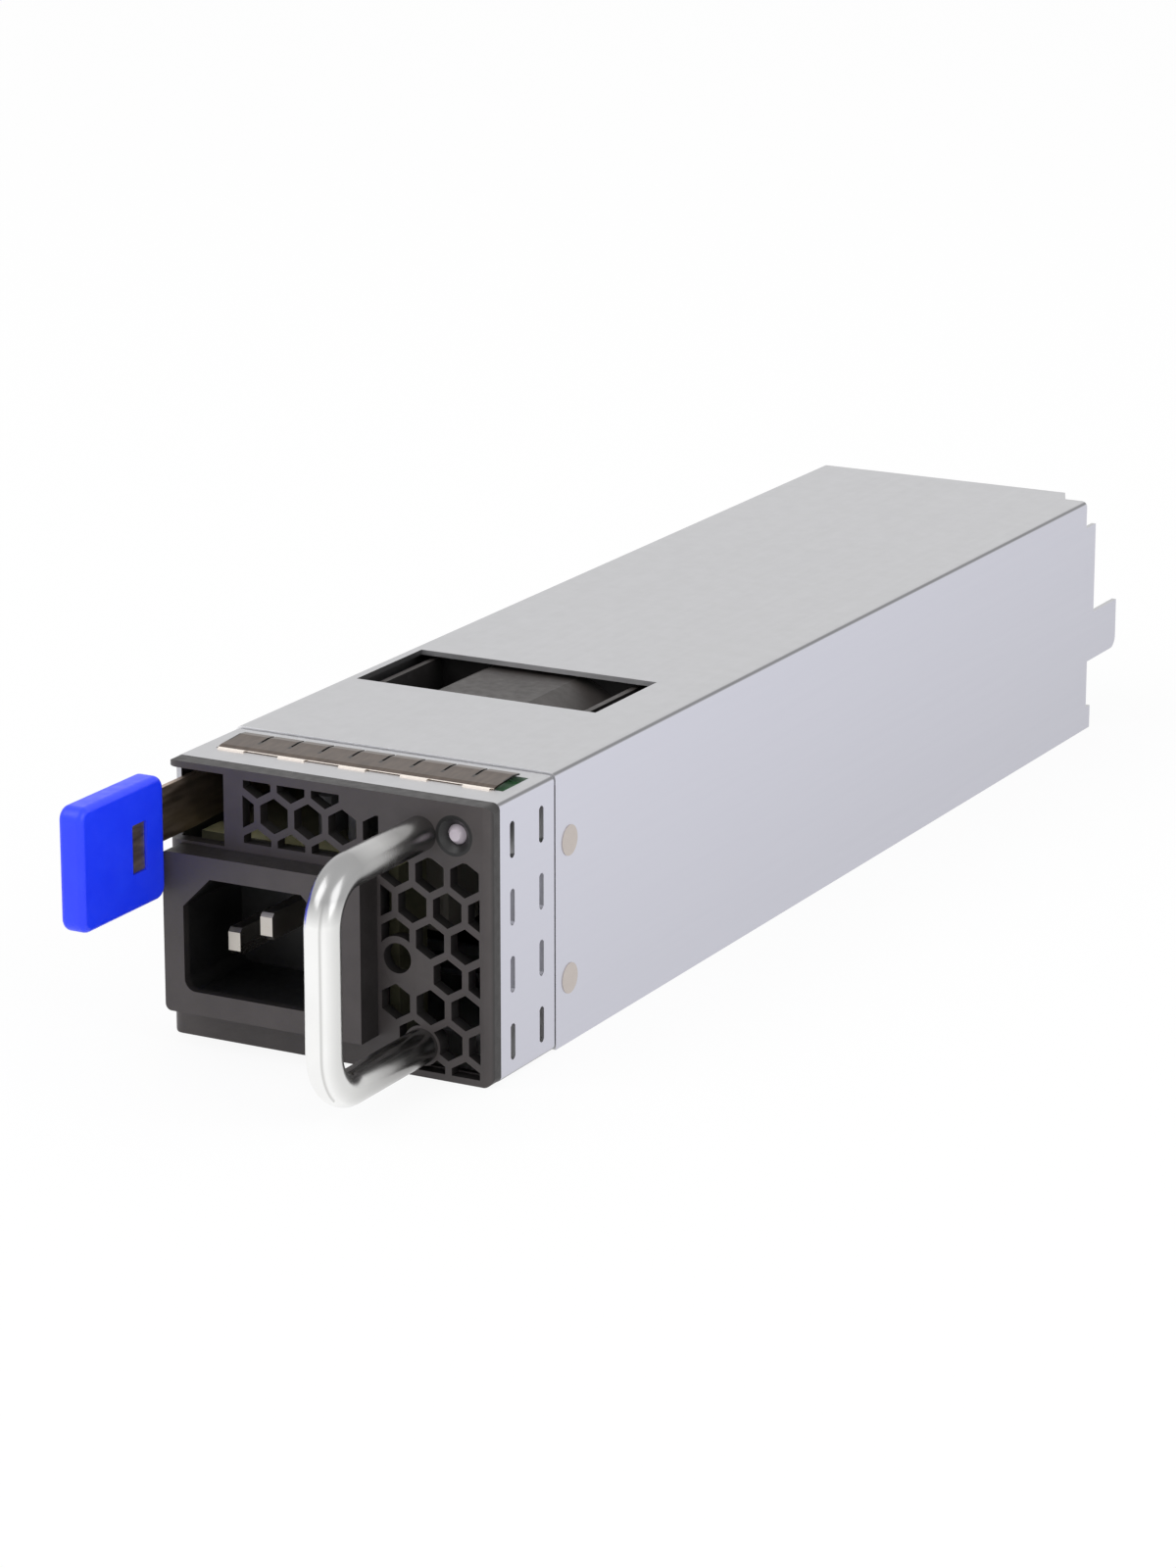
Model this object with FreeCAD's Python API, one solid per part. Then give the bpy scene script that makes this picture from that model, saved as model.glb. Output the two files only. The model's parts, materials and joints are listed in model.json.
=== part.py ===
import FreeCAD, Part
import math
import os

V = FreeCAD.Vector

# Hot-swap power supply module. X to the right, Y to the rear, Z up, in millimetres.
# The origin is on the base, at mid-width, just behind the front edge of the sheet metal.

# Case
CASE_WIDTH = 53.7
CASE_HEIGHT = 41.8
SHEET = 0.8
BEND = 1.0
SEAM_Y = 15.0
COVER_FRONT_Y = 15.4
COVER_TOP_REAR_Y = 214.2
TAB_REAR_Y = 224.2
TONGUE_REAR_Y = 24.0
WINDOW = (-24.7, 16.6, 46.6, 66.3)
RIVET_Y = 19.6
RIVET_RADIUS = 2.3
RIVETS_RIGHT_Z = (9.8, 30.7)
RIVETS_LEFT_Z = (9.8, 22.5)

# Ring behind the bezel
RING_FRONT_Y = -0.8
RING_STEP = 0.3
SLOT_COLUMNS_Y = (2.7, 11.2)
SLOT_ROWS_Z = (5.2, 15.3, 25.3, 35.3)
SLOT_WIDTH = 1.3
SLOT_HEIGHT = 5.4
RECESS = (-23.5, 24.3, 4.6, 12.2)

# Finger strip
FINGER_COUNT = 9
FINGER_PITCH = 5.11
FINGER_SLIT = 0.35
FINGER_STOCK = 0.25
FINGER_RISE = 0.5
FINGER_STRIP_LEFT = -23.1

# Bezel
BEZEL_FRONT_Y = -3.8
BEZEL_PLATE = 2.0
BEZEL_WALL = 1.2
BEZEL_ROUND_LEFT = 2.0
BEZEL_ROUND_RIGHT = 1.3
BEZEL_CORNER = 1.2
SNAP_STOCK = 1.2
SNAP_GAP = 0.1
SNAP_REAR_Y = 5.0
UPPER_FIELD = ((-13.8, 30.7), (8.8, 30.7), (8.8, 37.9), (3.0, 37.9), (3.0, 40.1), (-13.8, 40.1))
RIGHT_FIELD = (9.0, 25.2, 1.0, 32.9)
SMALLEST_CELL = 1.5
HEX_PITCH_X = 5.69
HEX_PITCH_Z = 4.94
HEX_FLATS = 4.62
HEX_FIRST_X = 19.93
HEX_FIRST_Z = 15.6
SOLID_CELLS = ((0, -1), (0, -2), (-2, -2))
INLET_BLOCK = (-24.6, 8.45, 5.1, 29.3)
INLET_FRONT_Y = -8.6
LATCH_OPENING = (-28.0, -17.0, 29.7, 40.5)
ROUND_HOLE = (11.7, 17.2, 2.25)
ROUND_HOLE_BOSS = 3.3

# Mains inlet, the sizes of an IEC 60320 C14
SOCKET = (-21.2, 3.3, 8.6, 26.0)
SOCKET_CHAMFER = 4.6
SOCKET_ROUND = 1.8
SOCKET_WALL = 1.3
SOCKET_DEPTH = 15.8
LINE_TIP_DEPTH = 5.3
EARTH_TIP_DEPTH = 2.9
BLADE_WIDTH = 2.0
BLADE_HEIGHT = 4.0
BLADE_SPACING = 14.0
EARTH_RISE = 4.0

# Handle
BAR_RADIUS = 2.6
HANDLE_X = 15.6
HANDLE_LOW_Z = 4.7
HANDLE_HIGH_Z = 36.3
HANDLE_FRONT_Y = -30.5
HANDLE_BEND = 7.0
STUD_RADIUS = 1.5

# Status light
LED_X = 21.1
LED_Z = 36.7
LED_HOLDER_RADIUS = 3.0
LED_RADIUS = 1.5

# Release lever
LEVER_STOCK = 0.8
LEVER_LOW_Z = 30.6
LEVER_HIGH_Z = 38.6
LEVER_GRIP_X = -24.9
LEVER_ARM_X = -25.3
PIVOT_Y = 37.0
PIVOT_RADIUS = 1.5
PIVOT_CLEARANCE = 0.05
EYE_RADIUS = 2.4
HOOK_Y = (8.5, 12.8)
HOOK_Z = (31.8, 37.3)
HOOK_REACH_X = -28.8
GRIP = (-27.6, -24.1, -30.6, -9.2, 23.2, 40.0)
GRIP_ROUND = 1.3
GRIP_SLOT = (-16.8, -14.1, 28.2, 34.8)
PADDLE = (-27.6, -11.2, 25.7, 38.2)

# Fan
FAN_SIZE = 39.0
FAN_DEPTH = 28.0
FAN_X = -5.3
FAN_FRONT_Y = 44.4
FAN_BORE = 18.7
FAN_BARREL = 20.9
FAN_FLANGE = 3.0
FAN_RIB_X = 17.8
FAN_FOOT = 0.5
FAN_HUB = 9.5
FAN_BLADES = 5
FAN_PITCH = 40.0
FAN_TIP_GAP = 0.5
SHAFT_RADIUS = 1.5
SHAFT_CLEARANCE = 0.03
BEARING_RADIUS = 3.4

# Boards
BOARD = 1.6
MAIN_BOARD_Z = 4.0
MAIN_BOARD_FRONT_Y = 76.0
MAIN_BOARD_REAR_Y = 206.0
EDGE_TONGUE = (-19.0, 13.0, 222.0)
FILTER_BOARD_Z = 27.6
FILTER_BOARD_REAR_Y = 31.0
FILTER_BOARD_RIGHT = 7.6
REAR_PANEL_Y = 208.0
SUPPORT_NECK = 2.6
SINK_X = -14.0

HALF = CASE_WIDTH / 2
WALL_IN = HALF - SHEET
TONGUE_IN = WALL_IN - SHEET
TOP_IN = CASE_HEIGHT - SHEET
TONGUE_TOP_IN = TOP_IN - SHEET
RING_TOP = CASE_HEIGHT - RING_STEP
RING_TOP_IN = RING_TOP - SHEET
PIVOT_X = LEVER_ARM_X - LEVER_STOCK / 2 + EYE_RADIUS
FAN_Z = SHEET + FAN_FOOT + FAN_SIZE / 2
FAN_REAR_Y = FAN_FRONT_Y + FAN_DEPTH
BOARD_TOP = MAIN_BOARD_Z + BOARD
SOCKET_X = (SOCKET[0] + SOCKET[1]) / 2
SOCKET_Z = (SOCKET[2] + SOCKET[3]) / 2
INLET_SEAT_Y = INLET_FRONT_Y + 1.4
SOCKET_FLOOR_Y = INLET_FRONT_Y + SOCKET_DEPTH
PLATE_REAR_Y = BEZEL_FRONT_Y + BEZEL_PLATE
LED_BOARD_Z = RING_TOP_IN - BOARD
BEYOND = 1.0

PLANES = {
    "xy": lambda u, v, w: V(u, v, w),
    "xz": lambda u, v, w: V(u, w, v),
    "yz": lambda u, v, w: V(w, u, v),
}


def outline(corners, plane, level):
    """Closed wire through corners (u, v) or (u, v, radius) on a plane."""
    points = [PLANES[plane](corner[0], corner[1], level) for corner in corners]
    spans = []
    for i, here in enumerate(points):
        radius = corners[i][2] if len(corners[i]) > 2 else 0
        if not radius:
            spans.append((here, here, None))
            continue
        back = (points[i - 1] - here).normalize()
        ahead = (points[(i + 1) % len(points)] - here).normalize()
        half = back.getAngle(ahead) / 2
        reach = radius / math.tan(half)
        inward = (back + ahead).normalize()
        middle = here + inward * (radius / math.sin(half) - radius)
        spans.append((here + back * reach, here + ahead * reach, middle))
    edges = []
    for i, (start, end, middle) in enumerate(spans):
        if middle is not None:
            edges.append(Part.Arc(start, middle, end).toShape())
        following = spans[(i + 1) % len(spans)][0]
        if (following - end).Length > 1e-6:
            edges.append(Part.LineSegment(end, following).toShape())
    return Part.Wire(edges)


def slab(corners, plane, low, high):
    """Outline on a plane, extruded from one level to another."""
    normal = PLANES[plane](0, 0, 1)
    return Part.Face(outline(corners, plane, low)).extrude(normal * (high - low))


def rect(u0, u1, v0, v1, radius=0):
    return [(u0, v0, radius), (u1, v0, radius), (u1, v1, radius), (u0, v1, radius)]


def eight_sided(u, v, width, height, corner):
    """Rectangle round a middle point with its corners cut off."""
    a, b = width / 2, height / 2
    return [(u - a + corner, v - b), (u + a - corner, v - b), (u + a, v - b + corner), (u + a, v + b - corner),
            (u + a - corner, v + b), (u - a + corner, v + b), (u - a, v + b - corner), (u - a, v - b + corner)]


def block(x0, x1, y0, y1, z0, z1):
    return Part.makeBox(x1 - x0, y1 - y0, z1 - z0, V(x0, y0, z0))


def rod(radius, start, end):
    return Part.makeCylinder(radius, (end - start).Length, start, end - start)


def fused(shapes):
    return shapes[0].multiFuse(shapes[1:]).removeSplitter()


def band(path, thickness):
    """Corners of a strip of even thickness along a line of (u, v) points."""
    steps = [V(b[0] - a[0], b[1] - a[1], 0).normalize() for a, b in zip(path, path[1:])]
    normals = [V(-step.y, step.x, 0) for step in steps]
    near, far = [], []
    for i, (u, v) in enumerate(path):
        first = normals[max(i - 1, 0)]
        second = normals[min(i, len(normals) - 1)]
        mitre = (first + second).normalize()
        reach = thickness / 2 / mitre.dot(first)
        near.append((u + mitre.x * reach, v + mitre.y * reach))
        far.append((u - mitre.x * reach, v - mitre.y * reach))
    return near + far[::-1]


def section(centre, direction, radius, sides=0):
    """Round or many-sided face across a direction."""
    if not sides:
        return Part.Face(Part.Wire(Part.Circle(centre, direction, radius).toShape()))
    first = direction.cross(V(0.3, 0.5, 0.8)).normalize() * radius
    turn = FreeCAD.Rotation(direction, 360.0 / sides)
    points = [first]
    for _ in range(sides):
        points.append(turn.multVec(points[-1]))
    points[-1] = first
    return Part.Face(Part.makePolygon([centre + point for point in points]))


def bent_bar(points, radius, bend):
    """Bar along straight runs joined by arcs of one bend radius."""
    pieces = []
    start = points[0]
    for before, here, after in zip(points, points[1:], points[2:]):
        back = (before - here).normalize()
        ahead = (after - here).normalize()
        half = back.getAngle(ahead) / 2
        reach = bend / math.tan(half)
        centre = here + (back + ahead).normalize() * (bend / math.sin(half))
        entry = here + back * reach
        leave = here + ahead * reach
        pieces.append(section(start, entry - start, radius).extrude(entry - start))
        axis = ahead.cross(back)
        turn = 180 - math.degrees(2 * half)
        pieces.append(section(entry, entry - start, radius).revolve(centre, axis, turn))
        start = leave
    pieces.append(section(start, points[-1] - start, radius).extrude(points[-1] - start))
    return fused(pieces)


# Sheet metal


def top_cover():
    """Folded cover: top and both walls, fan window, stepped rear edge with a keying tab."""
    outer = [(-HALF, 0), (-HALF, CASE_HEIGHT, BEND), (HALF, CASE_HEIGHT, BEND), (HALF, 0)]
    inner = rect(-WALL_IN, WALL_IN, -BEYOND, TOP_IN)
    cover = slab(outer, "xz", COVER_FRONT_Y, TAB_REAR_Y)
    end = TAB_REAR_Y + BEYOND
    above = CASE_HEIGHT + BEYOND
    step_z = 37.0
    right_edge = [(213.3, -BEYOND), (213.3, 4.0), (211.5, 4.0), (211.5, 12.4), (TAB_REAR_Y, 12.4, 2.0),
                  (TAB_REAR_Y, 21.0), (213.8, 21.0, 0.6), (213.8, step_z), (209.6, step_z), (209.6, above),
                  (end, above), (end, -BEYOND)]
    left_edge = [(COVER_TOP_REAR_Y, -BEYOND), (COVER_TOP_REAR_Y, above), (end, above), (end, -BEYOND)]
    top_edge = [(-WALL_IN, COVER_TOP_REAR_Y), (20.7, COVER_TOP_REAR_Y), (22.7, 209.6), (WALL_IN, 209.6),
                (WALL_IN, end), (-WALL_IN, end)]
    cuts = [
        slab(inner, "xz", COVER_FRONT_Y - BEYOND, end),
        slab(right_edge, "yz", WALL_IN, HALF + BEYOND),
        slab(left_edge, "yz", -HALF - BEYOND, -WALL_IN),
        slab(top_edge, "xy", TOP_IN - BEYOND, above),
        block(*WINDOW, TOP_IN - BEYOND, above),
    ]
    cuts += [rod(RIVET_RADIUS, V(WALL_IN, RIVET_Y, z), V(HALF, RIVET_Y, z)) for z in RIVETS_RIGHT_Z]
    cuts += [rod(RIVET_RADIUS, V(-WALL_IN, RIVET_Y, z), V(-HALF, RIVET_Y, z)) for z in RIVETS_LEFT_Z]
    return cover.cut(cuts)


def front_frame():
    """Sheet ring behind the bezel, with a tongue set in by one sheet that carries the cover."""
    ring = slab(rect(-HALF, HALF, 0, RING_TOP, BEND), "xz", RING_FRONT_Y, SEAM_Y)
    ring = ring.cut(slab(rect(-WALL_IN, WALL_IN, SHEET, RING_TOP_IN), "xz", RING_FRONT_Y, SEAM_Y))
    lap_y = SEAM_Y - 1.2
    tongue = slab(rect(-WALL_IN, WALL_IN, SHEET, TOP_IN), "xz", lap_y, TONGUE_REAR_Y)
    hollow = rect(-TONGUE_IN, TONGUE_IN, 2 * SHEET, TONGUE_TOP_IN)
    tongue = tongue.cut(slab(hollow, "xz", lap_y, TONGUE_REAR_Y))
    joggle = block(-WALL_IN, WALL_IN, lap_y, SEAM_Y, RING_TOP_IN, RING_TOP)
    backing = block(TONGUE_IN, WALL_IN, 1.9, SEAM_Y, 11.0, 29.6)
    frame = fused([ring, tongue, joggle, backing])
    cuts = []
    for y in SLOT_COLUMNS_Y:
        for z in SLOT_ROWS_Z:
            slot = eight_sided(y, z, SLOT_WIDTH, SLOT_HEIGHT, SLOT_WIDTH * 0.3)
            cuts.append(slab(slot, "yz", WALL_IN, HALF + BEYOND))
            if z < LATCH_OPENING[2]:
                cuts.append(slab(slot, "yz", -HALF - BEYOND, -WALL_IN))
    cuts.append(block(*RECESS, TONGUE_TOP_IN - BEYOND, RING_TOP + BEYOND))
    hook_gap = 0.7
    cuts.append(block(-HALF - BEYOND, -WALL_IN, HOOK_Y[0] - hook_gap, HOOK_Y[1] + hook_gap,
                      HOOK_Z[0] - hook_gap, HOOK_Z[1] + hook_gap))
    cuts.append(block(-WALL_IN, -TONGUE_IN, lap_y, TONGUE_REAR_Y, 28.0, TONGUE_TOP_IN))
    return frame.cut(cuts)


def cover_rivets():
    """Flush rivet heads in the cover walls, set against the tongue."""
    rivets = []
    for side, rows in ((1, RIVETS_RIGHT_Z), (-1, RIVETS_LEFT_Z)):
        for z in rows:
            rivets.append(rod(RIVET_RADIUS, V(side * WALL_IN, RIVET_Y, z), V(side * (HALF + 0.1), RIVET_Y, z)))
    return Part.makeCompound(rivets)


def base_tray():
    """Folded base with low side flanges, its front edge under the ring's tongue."""
    flange_z = 9.0
    channel = [(-WALL_IN, 0), (WALL_IN, 0), (WALL_IN, flange_z), (TONGUE_IN, flange_z), (TONGUE_IN, SHEET),
               (-TONGUE_IN, SHEET), (-TONGUE_IN, flange_z), (-WALL_IN, flange_z)]
    tray = slab(channel, "xz", SEAM_Y + 0.4, 211.0)
    clear = block(-HALF, HALF, SEAM_Y, TONGUE_REAR_Y + 0.4, SHEET, flange_z + BEYOND)
    corners = [slab([(195, flange_z), (211, flange_z), (211, 3.0)], "yz", x0, x0 + 2 * BEYOND)
               for x0 in (-WALL_IN - 0.6, TONGUE_IN - 0.6)]
    return tray.cut([clear] + corners)


def rear_panel():
    """Vented rear plate with folded top and bottom edges and the opening for the board's tongue."""
    lip = 2.8
    profile = [(REAR_PANEL_Y - lip, SHEET), (REAR_PANEL_Y + SHEET, SHEET), (REAR_PANEL_Y + SHEET, TOP_IN),
               (REAR_PANEL_Y - lip, TOP_IN), (REAR_PANEL_Y - lip, TONGUE_TOP_IN), (REAR_PANEL_Y, TONGUE_TOP_IN),
               (REAR_PANEL_Y, 2 * SHEET), (REAR_PANEL_Y - lip, 2 * SHEET)]
    panel = slab(profile, "yz", -TONGUE_IN + 0.3, TONGUE_IN - 0.3)
    through = (REAR_PANEL_Y - BEYOND, REAR_PANEL_Y + 2 * BEYOND)
    cuts = [slab(rect(EDGE_TONGUE[0] - 1.5, EDGE_TONGUE[1] + 1.5, 2.4, 8.0), "xz", *through)]
    for row in range(5):
        for column in range(4):
            x, z = -21.6 + 11.4 * column, 11.3 + 5.2 * row
            cuts.append(slab(rect(x, x + 9.0, z, z + 3.4), "xz", *through))
    return panel.cut(cuts)


def emi_gasket():
    """Spring finger strip folded over the recess, with clip tabs on alternate fingers."""
    front, rear = RECESS[2], RECESS[3] - 0.1
    low = RING_TOP + FINGER_STOCK / 2
    crest = low + FINGER_RISE
    fold = [(front, low), (front + 1.0, low + 0.2), (rear - 3.0, crest - 0.1), (rear - 1.6, crest),
            (rear, low + 0.3)]
    x0 = FINGER_STRIP_LEFT
    strip = slab(band(fold, FINGER_STOCK), "yz", x0, x0 + FINGER_COUNT * FINGER_PITCH)
    slits, tabs = [], []
    for i in range(FINGER_COUNT):
        x = x0 + i * FINGER_PITCH
        if i:
            slits.append(block(x - FINGER_SLIT / 2, x + FINGER_SLIT / 2, (front + rear) / 2, rear + BEYOND,
                               RING_TOP - BEYOND, crest + BEYOND))
        if i % 2 == 0:
            tabs.append(block(x + 0.3, x + FINGER_PITCH - 0.4, front - 0.7, front + 0.2,
                              RING_TOP, RING_TOP + FINGER_STOCK))
    return fused([strip.cut(slits)] + tabs)


# Bezel and what it carries


def hexagon(x, z, level):
    radius = HEX_FLATS / math.sqrt(3)
    turns = [math.radians(60 * i + 90) for i in range(6)]
    corners = [(x + radius * math.cos(t), z + radius * math.sin(t)) for t in turns]
    return Part.Face(outline(corners, "xz", level))


def disc(x, z, radius, level):
    return Part.Face(Part.Wire(Part.Circle(V(x, level, z), V(0, 1, 0), radius).toShape()))


def honeycomb(field, keep_solid, level):
    """Prisms of one hexagonal lattice, clipped to a field and kept off the solid bosses."""
    area = Part.Face(outline(field, "xz", level))
    box = area.BoundBox
    prisms = []
    for row in range(-3, 6):
        z = HEX_FIRST_Z + row * HEX_PITCH_Z
        shift = HEX_PITCH_X / 2 if row % 2 else 0
        for column in range(-7, 3):
            x = HEX_FIRST_X + shift + column * HEX_PITCH_X
            outside = abs(x - box.Center.x) > box.XLength / 2 + HEX_FLATS / 2
            if outside or (row, column) in SOLID_CELLS:
                continue
            cell = hexagon(x, z, level).common(area)
            for boss in keep_solid:
                cell = cell.cut(boss)
            prisms += [face.extrude(V(0, BEZEL_PLATE, 0)) for face in cell.Faces if face.Area > SMALLEST_CELL]
    return prisms


def socket_outline(grow):
    """C14 opening: square below, two cut corners above."""
    x0, x1, z0, z1 = SOCKET
    cut = SOCKET_CHAMFER
    lean = grow * math.tan(math.radians(22.5))
    low_round = SOCKET_ROUND + grow
    return [(x0 - grow, z0 - grow, low_round), (x1 + grow, z0 - grow, low_round), (x1 + grow, z1 - cut + lean),
            (x1 - cut + lean, z1 + grow), (x0 + cut - lean, z1 + grow), (x0 - grow, z1 - cut + lean)]


def bezel():
    """Moulded cap on the ring: two honeycomb fields, inlet block, latch opening, round hole, three snaps."""
    front, rear = BEZEL_FRONT_Y, RING_FRONT_Y
    plan = [(-HALF, rear), (-HALF, front, BEZEL_ROUND_LEFT), (HALF, front, BEZEL_ROUND_RIGHT), (HALF, rear)]
    face = slab(rect(-HALF, HALF, 0, RING_TOP, BEZEL_CORNER), "xz", front, rear)
    cap = slab(plan, "xy", 0, RING_TOP).common(face)
    side = HALF - BEZEL_WALL
    cap = cap.cut(block(-side, side, PLATE_REAR_Y, rear, BEZEL_WALL, RING_TOP - BEZEL_WALL))
    x0, x1, z0, z1 = INLET_BLOCK
    inlet = slab([(x0, z0, 1.0), (x1, z0), (x1, z1), (x0, z1, 0.6)], "xz", INLET_FRONT_Y, front)
    inlet_rear = block(x0, x1, PLATE_REAR_Y, rear, z0, z1)
    hole_x, hole_z, hole_radius = ROUND_HOLE
    bosses = [rod(BAR_RADIUS, V(HANDLE_X, PLATE_REAR_Y, z), V(HANDLE_X, rear, z))
              for z in (HANDLE_LOW_Z, HANDLE_HIGH_Z)]
    snap_y = (PLATE_REAR_Y, SNAP_REAR_Y)
    low = SHEET + SNAP_GAP
    high = RING_TOP_IN - SNAP_GAP
    left = -WALL_IN + SNAP_GAP
    snaps = [block(-22.0, -2.0, *snap_y, low, low + SNAP_STOCK),
             block(4.0, 12.5, *snap_y, high - SNAP_STOCK, high),
             block(left, left + SNAP_STOCK, *snap_y, 8.0, 24.0)]
    body = fused([cap, inlet, inlet_rear] + bosses + snaps)
    solid = [disc(HANDLE_X, HANDLE_LOW_Z, BAR_RADIUS + 0.4, front),
             disc(hole_x, hole_z, ROUND_HOLE_BOSS, front)]
    cuts = honeycomb(UPPER_FIELD, [], front)
    cuts += honeycomb(rect(*RIGHT_FIELD), solid, front)
    cuts.append(rod(hole_radius, V(hole_x, front, hole_z), V(hole_x, rear, hole_z)))
    cuts.append(rod(LED_HOLDER_RADIUS, V(LED_X, front, LED_Z), V(LED_X, rear, LED_Z)))
    for z in (HANDLE_LOW_Z, HANDLE_HIGH_Z):
        cuts.append(rod(STUD_RADIUS, V(HANDLE_X, front, z), V(HANDLE_X, rear, z)))
    cuts.append(slab(socket_outline(0), "xz", INLET_FRONT_Y, rear))
    cuts.append(slab(socket_outline(SOCKET_WALL), "xz", INLET_SEAT_Y, rear))
    x0, x1, z0, z1 = LATCH_OPENING
    cuts.append(block(x0, x1, front, rear, z0, z1))
    return body.cut(cuts)


def blade_places():
    """Centres of the inlet's blades as (x, z): line, neutral, earth."""
    low_z = SOCKET_Z - EARTH_RISE / 2
    return [(SOCKET_X - BLADE_SPACING / 2, low_z), (SOCKET_X + BLADE_SPACING / 2, low_z),
            (SOCKET_X, low_z + EARTH_RISE)]


def blade_section(x, z):
    return rect(x - BLADE_WIDTH / 2, x + BLADE_WIDTH / 2, z - BLADE_HEIGHT / 2, z + BLADE_HEIGHT / 2)


def inlet_body():
    """Moulded C14 shell with a closed floor that holds the blades."""
    rear = SOCKET_FLOOR_Y + 3.5
    shell = slab(socket_outline(SOCKET_WALL), "xz", INLET_SEAT_Y, rear)
    cuts = [slab(socket_outline(0), "xz", INLET_SEAT_Y, SOCKET_FLOOR_Y)]
    cuts += [slab(blade_section(x, z), "xz", SOCKET_FLOOR_Y, rear) for x, z in blade_places()]
    return shell.cut(cuts)


def blade(x, z, tip_y):
    """Flat blade with a chamfered tip and a solder tail."""
    tail_y = SOCKET_FLOOR_Y + 7.0
    chamfer = 0.6
    half = BLADE_HEIGHT / 2
    side = [(tip_y + chamfer, z - half), (tail_y, z - half), (tail_y, z + half), (tip_y + chamfer, z + half),
            (tip_y, z + half - chamfer), (tip_y, z - half + chamfer)]
    return slab(side, "yz", x - BLADE_WIDTH / 2, x + BLADE_WIDTH / 2)


def inlet_line_pins():
    tip_y = INLET_FRONT_Y + LINE_TIP_DEPTH
    return Part.makeCompound([blade(x, z, tip_y) for x, z in blade_places()[:2]])


def inlet_earth_pin():
    x, z = blade_places()[2]
    return blade(x, z, INLET_FRONT_Y + EARTH_TIP_DEPTH)


def handle():
    """Round bar bent to a U, turned down to studs that are staked behind the bezel."""
    foot = BEZEL_FRONT_Y
    x = HANDLE_X
    route = [V(x, foot, HANDLE_HIGH_Z), V(x, HANDLE_FRONT_Y, HANDLE_HIGH_Z),
             V(x, HANDLE_FRONT_Y, HANDLE_LOW_Z), V(x, foot, HANDLE_LOW_Z)]
    bar = bent_bar(route, BAR_RADIUS, HANDLE_BEND)
    studs = [rod(STUD_RADIUS, V(x, foot, z), V(x, RING_FRONT_Y + 0.6, z))
             for z in (HANDLE_LOW_Z, HANDLE_HIGH_Z)]
    return fused([bar] + studs)


def led_holder():
    """Round holder in the bezel with a dished face and a bore for the light."""
    front = BEZEL_FRONT_Y
    length = 7.0
    axis = (V(LED_X, front, LED_Z), V(0, 1, 0))
    body = Part.makeCylinder(LED_HOLDER_RADIUS, length, *axis)
    dish = Part.makeCone(LED_HOLDER_RADIUS - 0.5, LED_RADIUS, 1.0, *axis)
    return body.cut([dish, Part.makeCylinder(LED_RADIUS, length, *axis)])


def led_lens():
    """Light with a bevelled tip, its flange behind the holder and its leads in the board."""
    tip = 0.9
    start = V(LED_X, BEZEL_FRONT_Y + 0.2, LED_Z)
    shoulder = start + V(0, tip, 0)
    rear_y = BEZEL_FRONT_Y + 7.0
    nose = Part.makeCone(LED_RADIUS * 0.55, LED_RADIUS, tip, start, V(0, 1, 0))
    barrel = rod(LED_RADIUS, shoulder, V(LED_X, rear_y, LED_Z))
    flange = block(LED_X - 2.0, LED_X + 2.0, rear_y, rear_y + 1.2, LED_Z - 2.0, LED_BOARD_Z)
    leads = block(LED_X - 1.3, LED_X + 1.3, rear_y + 1.2, 8.4, LED_BOARD_Z - 0.6, LED_BOARD_Z)
    return fused([nose, barrel, flange, leads])


def led_board():
    """Small board under the ring's top, carrying the status light."""
    corners = [(13.0, 3.6), (25.0, 3.6), (25.0, 13.4), (16.5, 13.4), (13.0, 9.9)]
    return slab(corners, "xy", LED_BOARD_Z, RING_TOP_IN)


# Release lever


def latch_arm():
    """Sprung steel lever: paddle for the grip, joggled arm, hook and pivot eye."""
    path = [(LEVER_GRIP_X, PADDLE[0]), (LEVER_GRIP_X, 0.5), (LEVER_ARM_X, 6.0), (LEVER_ARM_X, PIVOT_Y)]
    arm = slab(band(path, LEVER_STOCK), "xy", LEVER_LOW_Z, LEVER_HIGH_Z)
    half = LEVER_STOCK / 2
    paddle = slab(rect(*PADDLE, 1.5), "yz", LEVER_GRIP_X - half, LEVER_GRIP_X + half)
    outside = LEVER_ARM_X
    hook = slab([(outside, HOOK_Y[0]), (HOOK_REACH_X, HOOK_Y[0]), (HOOK_REACH_X, HOOK_Y[0] + 1.1),
                 (LEVER_ARM_X - half, HOOK_Y[1]), (outside, HOOK_Y[1])], "xy", *HOOK_Z)
    pivot = (V(PIVOT_X, PIVOT_Y, LEVER_LOW_Z), V(PIVOT_X, PIVOT_Y, LEVER_HIGH_Z))
    eye = rod(EYE_RADIUS, *pivot)
    bore = rod(PIVOT_RADIUS + PIVOT_CLEARANCE, *pivot)
    return fused([arm, paddle, hook, eye]).cut(bore)


def latch_grip():
    """Moulded grip over the lever's paddle, with a slot that shows the metal."""
    x0, x1, y0, y1, z0, z1 = GRIP
    front = 1.9
    body = slab([(y0, z0, front), (y1, z0, GRIP_ROUND), (y1, z1, GRIP_ROUND), (y0, z1, front)], "yz", x0, x1)
    edges = [edge for edge in body.Edges if edge.BoundBox.XLength < 1e-6]
    body = body.makeChamfer(GRIP_ROUND * 0.6, edges)
    window = block(LEVER_GRIP_X, x1 + BEYOND, *GRIP_SLOT)
    return body.cut([latch_arm(), window])


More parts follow.
